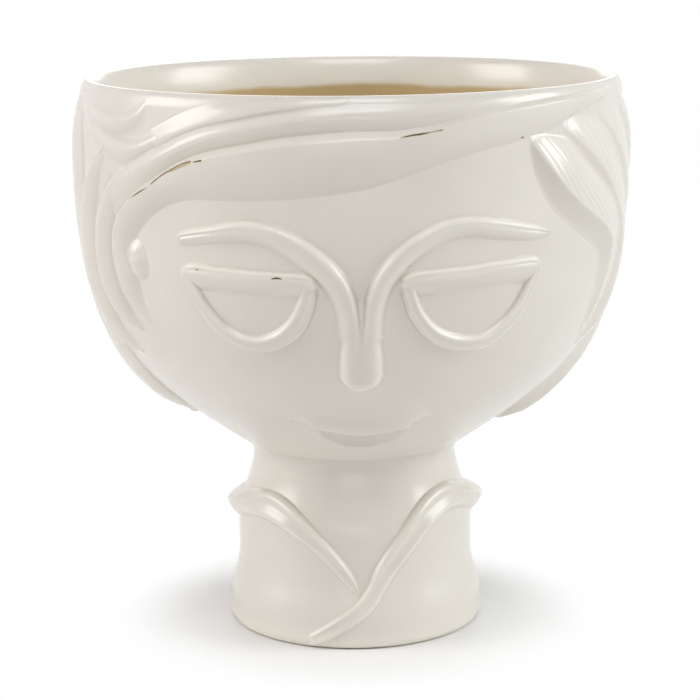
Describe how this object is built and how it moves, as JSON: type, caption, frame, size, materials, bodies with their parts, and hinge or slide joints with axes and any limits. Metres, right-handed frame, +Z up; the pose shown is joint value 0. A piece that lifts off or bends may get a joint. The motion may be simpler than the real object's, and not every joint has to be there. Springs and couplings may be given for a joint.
{
  "type": "head planter",
  "caption": "Glazed earthenware planter shaped as a stylised head, an open bowl with raised hair and face, on a hollow neck with a turned-up collar",
  "frame": {"origin": "middle of the foot, on the surface that the planter stands on", "axes": "+Z up through the middle of the bowl, the face looks towards -Y, +X to the right of someone looking at the face"},
  "size_m": [0.1999, 0.2001, 0.2009],
  "materials": {
    "white_glaze": "satin opaque white glaze",
    "bare_clay": "unglazed fired clay"
  },
  "bodies": {
    "root": {"back_lock_1": "white_glaze", "back_lock_10": "white_glaze", "back_lock_11": "white_glaze", "back_lock_12": "white_glaze", "back_lock_2": "white_glaze", "back_lock_3": "white_glaze", "back_lock_4": "white_glaze", "back_lock_5": "white_glaze", "back_lock_6": "white_glaze", "back_lock_7": "white_glaze", "back_lock_8": "white_glaze", "back_lock_9": "white_glaze", "base_floor": "bare_clay", "brow_left": "white_glaze", "brow_right": "white_glaze", "collar_back": "white_glaze", "crown_curl_1": "white_glaze", "crown_curl_2": "white_glaze", "ear_stud": "white_glaze", "eye_rim_left": "white_glaze", "eye_rim_right": "white_glaze", "fringe_lower": "white_glaze", "fringe_upper": "white_glaze", "head_bowl": "white_glaze", "lapel_left": "white_glaze", "lapel_right": "white_glaze", "left_lock_1": "white_glaze", "left_lock_2": "white_glaze", "left_lock_3": "white_glaze", "lower_lip": "white_glaze", "neck_pedestal": "white_glaze", "nose_bridge": "white_glaze", "right_lock_1": "white_glaze", "right_lock_2": "white_glaze", "right_lock_3": "white_glaze", "right_lock_4": "white_glaze", "upper_lip": "white_glaze"}
  },
  "joints": []
}
